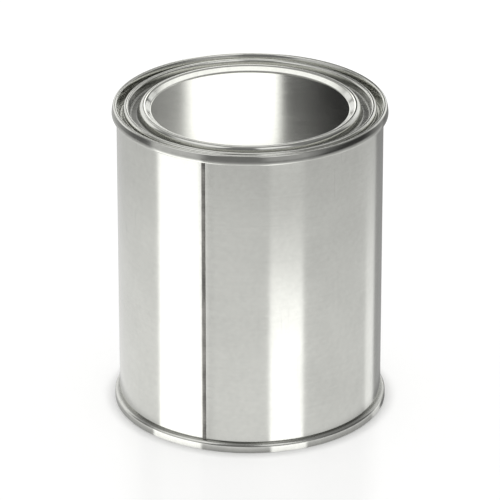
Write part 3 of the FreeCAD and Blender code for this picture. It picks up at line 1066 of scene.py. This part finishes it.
def stripes(wire, place):
    """Grey on the left, white in the middle and dark on the right, and plain at the top."""
    across = place.part(0)
    uneven = noise(wire, stretched(wire, place, (60, 60, 40)), 1.0, 3.0, 0.6) - 0.5
    grey = across.ramp(-0.040, -0.020, 0.24, 0.44) + uneven * 0.35
    dark = across.ramp(0.012, 0.032, 0.15, 0.02) + uneven * 0.08
    white = across.ramp(-0.025, -0.019) * across.ramp(0.0085, 0.0125, 1.0, 0.0)
    right = across.ramp(-0.01, 0.01)
    striped = white * WHITE_TONE + (1.0 - white) * ((1.0 - right) * grey + right * dark)
    above = place.part(2).ramp(*STRIPES_END)
    return striped * (1.0 - above) + across.ramp(-0.04, 0.05, 0.75, 0.15) * above


card_middle = (0, CARD_AWAY, (CARD_FOOT + CARD_HEAD) / 2)
striped_card = stand_card("striped_card", card_middle, pi / 2, CARD_WIDE, CARD_HEAD - CARD_FOOT)
paint(striped_card, card_finish("striped_card", CARD_WHITE, stripes))

# %% [markdown]
# ## The card over the lid
#
# The slopes of the lid's bead face the axis and lean back, so they mirror what is right over the can. A
# bright room overhead would light them, and every other slope too. A card with a white arc hung there
# draws the bright ring round the panel only. It is small and low, so that the foot's seam, which leans
# the same way on the near side, looks past it.

# %% Hang the small card over the lid
LID_CARD_MIDDLE = (0, 0.09, 0.20)
LID_CARD_WIDE = 0.24
LID_CARD_LONG = 0.17
LID_CARD_WHITE = (1, 1, 0.99, 1)
ARC_AWAY = 0.018  # the arc's nearest point behind the can's axis
ARC_BEND = 13.0
ARC_WIDE = 0.013
ARC_SOFT = 0.004


def white_arc(wire, place):
    """A white arc that bends away behind the can, on grey."""
    across = place.part(0)
    from_arc = abs(place.part(1) - across * across * ARC_BEND - ARC_AWAY)
    return from_arc.ramp(ARC_WIDE, ARC_WIDE + ARC_SOFT, 1.4, 0.4)


lid_card = stand_card("lid_card", LID_CARD_MIDDLE, pi, LID_CARD_WIDE, LID_CARD_LONG)
paint(lid_card, card_finish("arc_card", LID_CARD_WHITE, white_arc))

# %% [markdown]
# ## The room
#
# The seams, the beads and the trough mirror the room all round. It is white behind the can, dark where
# the eye is, and has a broad soft lamp high on each side of the eye, which draws the short bright lines
# on the beads. Lamps could be hung for this, but a tone for each bearing, low and high, is easier to
# move. To everything but the metal the room is one even white.

# %% Tones of the room
LOW_TONES = [  # the room up to half its height, at each bearing
    (-180, 1.3),
    (-122, 1.3),
    (-110, 0.3),
    (-92, 0.25),
    (-84, 0.75),
    (-44, 0.75),
    (-34, 0.25),
    (8, 0.25),
    (16, 0.5),
    (45, 0.5),
    (55, 0.33),
    (66, 0.2),
    (105, 0.15),
    (118, 0.2),
    (126, 0.9),
    (138, 0.9),
    (150, 1.3),
    (180, 1.3),
]
HIGH_TONES = [  # and above that
    (-180, 0.4),
    (-110, 0.4),
    (-88, 1.4),
    (-36, 1.4),
    (-28, 0.25),
    (6, 0.25),
    (14, 1.4),
    (44, 1.4),
    (54, 0.3),
    (120, 0.3),
    (180, 0.4),
]
OVERHEAD_TONE = 0.45
LOW_TO_HIGH = (0.50, 0.62)  # rise of a direction: 0 is level and 1 is straight up
HIGH_TO_OVERHEAD = (0.92, 0.96)
print(f"the room has {len(LOW_TONES)} tones below, {len(HIGH_TONES)} above and one overhead")

# %% Light the room


def light_room():
    """An even white room, in which the metal sees its own tones."""
    world = bpy.data.worlds.new("soft_studio")
    bpy.context.scene.world = world
    world.use_nodes = True
    world.node_tree.nodes.clear()
    output = world.node_tree.nodes.new("ShaderNodeOutputWorld")
    wire = Wire(world.node_tree)
    way = wire.node("ShaderNodeTexCoord", output="Generated")
    bearing = bearing_of(wire, way)
    rise = way.part(2)
    high_up = rise.ramp(*LOW_TO_HIGH)
    overhead = rise.ramp(*HIGH_TO_OVERHEAD)
    sides = tone_round(wire, bearing, LOW_TONES) * (1.0 - high_up)
    sides = sides + tone_round(wire, bearing, HIGH_TONES) * high_up
    tone = sides * (1.0 - overhead) + overhead * OVERHEAD_TONE
    seen = mirrored(wire)
    glow = wire.node("ShaderNodeBackground", {}, {"Strength": (1.0 - seen) + seen * tone})
    wire.tree.links.new(glow.socket, output.inputs["Surface"])
    return world


room = light_room()
print(f"{room.name}: {len(room.node_tree.nodes)} nodes")

# %% [markdown]
# ## The eye
#
# The camera looks down on the can from a little over a metre away, at the angle from which its lid and
# its side seam show best. It could stand nearer with a wider lens, but the upright sides would then run
# together towards the foot. A long lens keeps them nearly parallel.

# %% Set up the camera
CAMERA_AWAY = 1.265
CAMERA_HEIGHT = 0.620
LENS = 312
NEAREST = 0.01  # nothing nearer to the camera than this shows

bpy.ops.object.camera_add(location=(0, -CAMERA_AWAY, CAMERA_HEIGHT))
camera = bpy.context.object
target = Vector((0, 0, RIM / 2 * MM))
camera.rotation_euler = (target - camera.location).to_track_quat("-Z", "Y").to_euler()
camera.data.lens = LENS
camera.data.clip_start = NEAREST
bpy.context.scene.camera = camera
bpy.context.scene.view_settings.view_transform = "Standard"
distance = (target - camera.location).length
field = camera.data.sensor_width / LENS * distance
print(f"the camera is {distance:.2f} m from the can's middle, where its view is {field / MM:.0f} mm wide")
